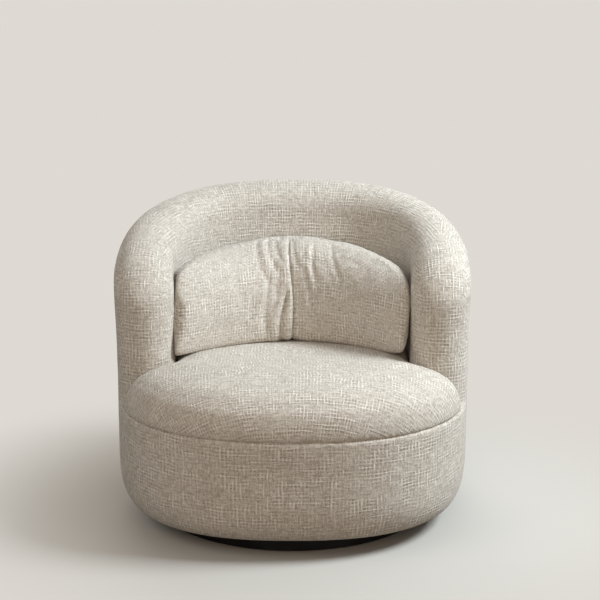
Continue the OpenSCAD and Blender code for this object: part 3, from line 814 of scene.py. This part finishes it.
# Section of the dome from its seam to its crown, each point as shares of the plan and of the height.
SEAT_PROFILE = [
    (0.978, -0.02), (0.989, -0.008), (0.995, 0.02), (0.998, 0.06), (0.9995, 0.14), (1, 0.26), (1, 0.42),
    (0.9995, 0.56), (0.998, 0.68), (0.9945, 0.79), (0.99, 0.87), (0.983, 0.92), (0.975, 0.955),
    (0.963, 0.977), (0.95, 0.99), (0.932, 0.998)]
SEAT_PROFILE += [(share_out, 1) for share_out in
                 (0.91, 0.88, 0.85, 0.8, 0.74, 0.66, 0.58, 0.48, 0.38, 0.27, 0.16, 0.06)]


def seat_rings(s, d):
    """Rings of the dome from its seam to its crown, each of (point, place on the cloth)."""
    edge = seat_outline(s, d)
    centre = Vector((0, -d.centre_y))
    rings = []
    for share, rise in SEAT_PROFILE:
        ring = []
        for e in edge:
            p = centre + (e - centre) * share
            ring.append(Vector((p.x, p.y, s.seam_z + (seat_top(s, d, p.x, p.y) - s.seam_z) * rise)))
        rings.append(ring)
    crown = Vector((centre.x, centre.y, seat_top(s, d, *centre)))
    placed = [[None] * len(edge) for _ in rings]
    for j, e in enumerate(edge):
        away = (e - centre).normalized()
        run, last = 0, crown
        for i in range(len(rings) - 1, -1, -1):
            run += (rings[i][j] - last).length
            last = rings[i][j]
            flat = centre + away * run
            placed[i][j] = (rings[i][j], Vector((flat.x, 0.5, flat.y)))
    return placed


class CHAIR_OT_upholster_seat(bpy.types.Operator):
    """Makes the domed seat, which is swollen as cloth over foam and pulled down into its seam"""
    bl_idname = "chair.upholster_seat"
    bl_label = "Upholster Seat"

    def execute(self, context):
        s, d = sizes("chair_shell"), sizes("chair_seat")
        dome = seat_rings(s, d)
        centre = Vector((0, -d.centre_y, 0))
        under = [[(centre + (p - centre) * inwards, place) for p, place in dome[0]]
                 for inwards in (0.1, 0.5, 0.84, 0.97)]
        seat = new_piece("seat_upholstery", [wrapped(under + dome)])
        remesh(seat, d.voxel)
        relax(seat, 4)

        def shrink(p, n):
            """Leaves room for the swell above the seam."""
            return n * -0.6 * d.swell * smooth_step(s.seam_z + 0.012, s.seam_z + 0.09, p.z)

        def free(p, n):
            """The cloth is held at the seam, and is tighter at the back, under the cushion."""
            low = smooth_step(s.seam_z + 0.006, s.seam_z + 0.1, p.z)
            return low * (0.35 + 0.65 * smooth_step(0.25, 0.02, p.y))

        shift_vertices(seat, shrink)
        swell(seat, free, d.swell)
        relax(seat, 5)
        snap(seat, wrapped(under + dome), lambda p: smooth_step(s.seam_z + 0.035, s.seam_z + 0.015, p.z))

        def settle(p, n):
            """The stuffing is a little lumpy, and the cloth puckers where it is pulled into the seam."""
            amount = 0.0016 * unevenness(p, 0.15, 7) + 0.0005 * unevenness(p, 0.045, 11)
            near = smooth_step(s.seam_z + 0.045, s.seam_z + 0.004, p.z)
            angle = math.atan2(p.y, p.x)
            pucker = unevenness(Vector((math.cos(angle), math.sin(angle), 0)) * 0.4, 0.022, 13)
            return n * amount * (1 - near) + Vector((0, 0, 1)) * 0.0009 * pucker * near

        shift_vertices(seat, settle)
        lay_cloth(seat, [[ring + ring[:1] for ring in dome]], slub_linen("slub_linen_seat"))
        subdivide(seat)
        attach(seat, "chair")
        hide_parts("seat_cushion", "seat_foam")
        return {"FINISHED"}


def cushion_shape(s, d, c):
    """Where the lumbar cushion stands, and a function that gives the points of its case."""
    inner_w, inner_d = s.half_w - s.wall_t, s.half_d - s.wall_t
    front_share, foot_share, foot_gap, back_gap = 0.44, 0.97, 0.0003, 0.003
    half_w = inner_w - c.side_gap
    base = seat_top(s, d, 0, inner_d - s.back_pitch - c.thickness * 0.6) + foot_gap
    mid_z = base + c.height / 2
    spring = s.back_h - s.wall_t / 2
    wall_y = inner_d - s.back_pitch * (spring - mid_z) / (spring - s.seam_z)
    y = wall_y - back_gap - c.thickness * (1 - front_share)
    bend = y + inner_d * c.end_share

    def point(along, up, side):
        out = along * bulge(up, 6 if up > 0 else 12 if along > 0 else 30)
        right = smooth_step(0.45, 0.95, out)
        x = out * half_w - c.tuck * right * smooth_step(0.1, -0.95, up)
        depth = c.thickness * (1 - front_share if side > 0 else front_share)
        depth *= bulge(up, 2.6 if up > 0 else 5) * bulge(along, 2.6 if side > 0 else 5)
        py = y + up * c.height / 2 * math.tan(c.lean) - bend * out * out + side * depth
        if up > 0:
            rise = c.peak * math.exp(-(x / 0.09) ** 2) - c.slump * right - c.corner_drop * out * out
            pz = mid_z + up * (c.height / 2 + rise)
        else:
            pz = mid_z + up * (mid_z - seat_top(s, d, x, py) - foot_gap) / foot_share
        return Vector((x, py, pz))

    return SimpleNamespace(point=point, foot_share=foot_share, high=mid_z + c.height / 2, low=base)


def crowded(count, reach=1.0):
    """Shares from -reach to reach, closer together towards the ends."""
    return [reach * math.sin(math.pi / 2 * v) for v in between(-1, 1, count)]


def cushion_rings(shape):
    """Rings of the case from its foot to its top, each of (point, place on the cloth). A ring runs along
    the front and returns along the back, and the cloth's place is measured from the middle."""
    ups = [-shape.foot_share] + [u for u in crowded(60, 0.995) if u > -shape.foot_share]
    alongs = crowded(80)
    middle = len(alongs) // 2
    columns = [(a, -1) for a in alongs] + [(a, 1) for a in reversed(alongs[1:-1])]
    rings = []
    raised = [0] * len(columns)
    for up in ups:
        points = [shape.point(a, up, side) for a, side in columns]
        if rings:
            raised = [r + (p - last[0]).length for r, p, last in zip(raised, points, rings[-1])]
        runs = [0] * len(columns)
        back = len(columns) - middle
        for start, stop, step, way in ((middle, len(alongs) - 1, 1, 1), (middle, 0, -1, -1),
                                       (back, len(alongs) - 1, -1, 1), (back, len(columns) - 1, 1, -1)):
            for j in range(start, stop, step):
                runs[j + step] = runs[j] + (points[j + step] - points[j]).length * way
        level = raised[middle]
        rings.append([(p, Vector((run, 0.1 * side, 0.5 * (level + rise))))
                      for p, run, rise, (_, side) in zip(points, runs, raised, columns)])
    return rings


# Folds of the cushion's front beside its seam. Each runs from its first to its second place, given as
# (distance from the seam, share of the height), and has a half width, a depth and a share of its run over
# which it fades out. A negative depth is a valley.
FOLDS = [
    ((-0.08, 1.03), (-0.05, 0.6), 0.0048, -0.0032, 0.4),
    ((-0.066, 1.03), (-0.04, 0.7), 0.0038, 0.0024, 0.5),
    ((-0.052, 1.03), (-0.026, 0.7), 0.0042, -0.0028, 0.5),
    ((-0.034, 1.03), (-0.012, 0.8), 0.0036, -0.0022, 0.5),
    ((-0.054, 0.66), (-0.06, 0.04), 0.0062, -0.0046, 0.3),
    ((-0.128, 0.8), (-0.112, 0.4), 0.0068, -0.0024, 0.5),
    ((-0.014, 0.52), (-0.024, 0.0), 0.0042, -0.008, 0.25),
    ((-0.034, 0.46), (-0.042, 0.0), 0.008, 0.0032, 0.35),
    ((0.01, 1.02), (0.03, 0.72), 0.0042, -0.0022, 0.5),
    ((0.06, 0.97), (0.062, 0.5), 0.005, -0.003, 0.45),
    ((0.05, 0.97), (0.05, 0.6), 0.005, 0.0018, 0.5),
    ((0.104, 1.0), (0.12, 0.66), 0.0052, -0.0026, 0.5),
    ((0.16, 0.86), (0.1, 0.8), 0.005, -0.0018, 0.5),
    ((0.19, 0.42), (0.12, 0.36), 0.007, -0.0018, 0.5),
    ((0.02, 0.3), (0.028, 0.02), 0.006, -0.0025, 0.4),
]


def folded(x, up, height):
    """Height of the folds at a distance from the seam and a share of the cushion's height."""
    total = 0
    for (x0, u0), (x1, u1), width, depth, fade in FOLDS:
        run = Vector((x1 - x0, (u1 - u0) * height))
        away = Vector((x - x0, (up - u0) * height))
        along = away.dot(run) / run.length_squared
        if -0.2 < along < 1.2:
            # A fold bows a little, as cloth does where it is drawn in at a seam, and widens along its run.
            across = (away.x * run.y - away.y * run.x) / run.length
            across -= 0.06 * run.length * math.sin(math.pi * along)
            show = smooth_step(-0.15, 0.08, along) * smooth_step(1.1, 1.1 - fade, along)
            total += depth * show * math.exp(-(across / (width * (1 + 0.8 * max(0, along)))) ** 2)
    return total


class CHAIR_OT_fill_lumbar_cushion(bpy.types.Operator):
    """Fills the loose lumbar cushion as cloth, and works its centre seam, lap and gathers"""
    bl_idname = "chair.fill_lumbar_cushion"
    bl_label = "Fill Lumbar Cushion"

    def execute(self, context):
        s, d, c = sizes("chair_shell"), sizes("chair_seat"), sizes("chair_cushion")
        shape = cushion_shape(s, d, c)
        rings = cushion_rings(shape)
        pillow = new_piece("lumbar_pillow", [wrapped(rings)])
        remesh(pillow, c.voxel)
        relax(pillow, 4)

        def shrink(p, n):
            """Leaves room for the swell above the foot."""
            return n * -0.3 * c.swell * smooth_step(shape.low + 0.004, shape.low + 0.04, p.z)

        def free(p, n):
            """The cloth is held at its foot and by the centre seam, and is tighter at the back."""
            foot = smooth_step(shape.low - 0.03, shape.low + 0.035, p.z)
            back = 0.35 if n.y > 0.2 else 1.0
            seam = 1 - 0.8 * math.exp(-(p.x / 0.02) ** 2)
            return foot * back * seam

        shift_vertices(pillow, shrink)
        swell(pillow, free, c.swell)
        relax(pillow, 2)
        subdivide(pillow)

        def tailor(p, n):
            """Centre seam, over which the left side laps, and the gathers beside it, on the front only."""
            if n.y > 0.15:
                return Vector((0, 0, 0))
            up = (p.z - shape.low) / (shape.high - shape.low)
            facing = smooth_step(0.15, -0.35, n.y)
            # The seam bows to the left at its top.
            x = p.x - 0.001 + 0.0115 * smooth_step(0.42, 1.02, up) + 0.0027 * smooth_step(0.4, 0, up)
            groove = -0.007 * math.exp(-(x / 0.003) ** 2) - 0.006 * math.exp(-(x / 0.022) ** 2)
            lap = 0.0095 * smooth_step(-0.04, -0.006, x) * smooth_step(0.001, -0.0025, x)
            return n * facing * (groove + lap * smooth_step(0, 0.08, up) + folded(x, up, c.height))

        shift_vertices(pillow, tailor)

        def settle(p, n):
            """The filling is lumpy, and the case puckers at its upper edge."""
            amount = 0.0022 * unevenness(p, 0.07, 17) + 0.0007 * unevenness(p, 0.03, 19)
            pucker = 0.0016 * unevenness(p, 0.02, 29) * math.exp(-((p.z - shape.high + 0.02) / 0.03) ** 2)
            return n * (amount + pucker) * smooth_step(shape.low, shape.low + 0.05, p.z)

        shift_vertices(pillow, settle)
        lay_cloth(pillow, [[ring + ring[:1] for ring in rings]], slub_linen("slub_linen_cushion"))
        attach(pillow, "lumbar_cushion")
        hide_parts("lumbar_cover", "lumbar_insert")
        return {"FINISHED"}


class CHAIR_OT_finish_frame(bpy.types.Operator):
    """Gives the carried-over frame, turntable and base their materials"""
    bl_idname = "chair.finish_frame"
    bl_label = "Finish Frame"

    def execute(self, context):
        makers = {
            "plinth_black": lacquered_board,
            "glide_black": moulded_polypropylene,
            "zinc_plate": zinc_plated_steel,
            "ball_steel": bearing_steel,
            "spring_steel": spring_wire,
            "plywood": birch_plywood,
            "dust_cloth": spun_cloth,
            "zip_tape": spun_cloth,
        }
        made = {}
        for part in frame["record"]["subparts"]:
            slot = part["material_slot"]
            if slot not in makers:
                continue
            if slot not in made:
                made[slot] = makers[slot]()
            held = frame["nodes"][part["node"]]
            for obj in held if isinstance(held, (list, tuple)) else [held]:
                obj.data.materials.clear()
                obj.data.materials.append(made[slot])
        return {"FINISHED"}


# Stage

CAMERA_PLACE = (0.0177, -3.7, 1.44)
CAMERA_TILT = math.radians(14.2)
CAMERA_LENS = 96
LAMP_TARGET = Vector((0, 0, 0.4))

# Each lamp's name, place, size in metres, power in watts and colour
LAMPS = [
    ("window", (2.5, -0.4, 2.8), 1.3, 168, "#F0F9FF"),
    ("left_wall", (-2.4, -1.5, 2.4), 2.0, 23, "#FFFAF3"),
    ("room", (0.2, -3.2, 1.4), 2.0, 21, "#FFE2C4"),
    ("back_wall", (-0.8, 3.4, 1.1), 2.4, 60, "#FFF6EC"),
]


def add_lamp(name, place, size, power, hex_colour):
    data = bpy.data.lights.new(name, "AREA")
    data.shape = "DISK"
    data.size = size
    data.energy = power
    data.color = linear(hex_colour)[:3]
    lamp = new_object(name, data)
    lamp.location = place
    lamp.rotation_euler = (LAMP_TARGET - Vector(place)).to_track_quat("-Z", "Y").to_euler()


class CHAIR_OT_set_stage(bpy.types.Operator):
    """Lays the pale floor and sets the lamps and the camera"""
    bl_idname = "chair.set_stage"
    bl_label = "Set Stage"

    def execute(self, context):
        finish = sizes("chair_finish")
        bm = bmesh.new()
        bmesh.ops.create_grid(bm, x_segments=1, y_segments=1, size=30)
        floor = new_piece("floor", [bm])
        material, tree = new_material(
            "sealed_plaster_floor", {"Roughness": 0.8, "Specular IOR Level": 0.2})
        # The floor throws back little light on the chair, as the photographed one does.
        camera_ray = add(tree, "LightPath").outputs["Is Camera Ray"]
        dress(material, mixed(camera_ray, finish.floor_bounce, finish.floor_near))
        # Away from the chair the floor is seen as an even pale ground, and near it, with its shadow.
        away = add(tree, "VectorMath", {0: object_place(tree)}, operation="LENGTH").outputs["Value"]
        seen = calc("MULTIPLY", camera_ray, ramped(away, 0.38, 1.05))
        ground = add(tree, "Emission", {"Color": finish.floor, "Strength": 1.0})
        near = tree.nodes["Principled BSDF"]
        shown = add(tree, "MixShader", {0: seen, 1: near.outputs[0], 2: ground.outputs[0]})
        tree.links.new(shown.outputs[0], tree.nodes["Material Output"].inputs["Surface"])
        floor.data.materials.append(material)

        world = bpy.data.worlds.new("studio")
        tree = empty_tree(world)
        path = add(tree, "LightPath")
        seen = calc("MAXIMUM", path.outputs["Is Camera Ray"], path.outputs["Is Glossy Ray"])
        level = add(tree, "MapRange", {0: seen, 3: 0.25, 4: 1.0}).outputs[0]
        tint = mixed(seen, "#FCFAF7", finish.floor)
        sky = add(tree, "Background", {"Color": tint, "Strength": level})
        add(tree, "OutputWorld", {"Surface": sky.outputs[0]})
        context.scene.world = world

        for lamp in LAMPS:
            add_lamp(*lamp)

        data = bpy.data.cameras.new("camera")
        data.lens = CAMERA_LENS
        data.clip_end = 200
        camera = new_object("camera", data)
        camera.location = CAMERA_PLACE
        camera.rotation_euler = (math.pi / 2 - CAMERA_TILT, 0, 0)
        context.scene.camera = camera
        context.scene.view_settings.view_transform = "Standard"
        return {"FINISHED"}


# The panel that lists the steps

OPERATORS = (CHAIR_OT_upholster_shell, CHAIR_OT_upholster_seat, CHAIR_OT_fill_lumbar_cushion,
             CHAIR_OT_finish_frame, CHAIR_OT_set_stage)


class CHAIR_PT_steps(bpy.types.Panel):
    """Steps that build the chair, in order"""
    bl_idname = "CHAIR_PT_steps"
    bl_label = "Swivel Barrel Chair"
    bl_space_type = "VIEW_3D"
    bl_region_type = "UI"
    bl_category = "Chair"

    def draw(self, context):
        for step in OPERATORS:
            self.layout.operator(step.bl_idname)
        for group, kind in GROUPS.items():
            box = self.layout.box()
            for name in kind.__annotations__:
                box.prop(getattr(context.scene, group), name)


CLASSES = (*GROUPS.values(), *OPERATORS, CHAIR_PT_steps)


def register():
    for kind in CLASSES:
        bpy.utils.register_class(kind)
    for group, kind in GROUPS.items():
        setattr(bpy.types.Scene, group, bpy.props.PointerProperty(type=kind))


def unregister():
    for group in GROUPS:
        delattr(bpy.types.Scene, group)
    for kind in reversed(CLASSES):
        bpy.utils.unregister_class(kind)


def main():
    register()
    for step in OPERATORS:
        family, name = step.bl_idname.split(".")
        getattr(getattr(bpy.ops, family), name)()


if __name__ == "__main__":
    main()
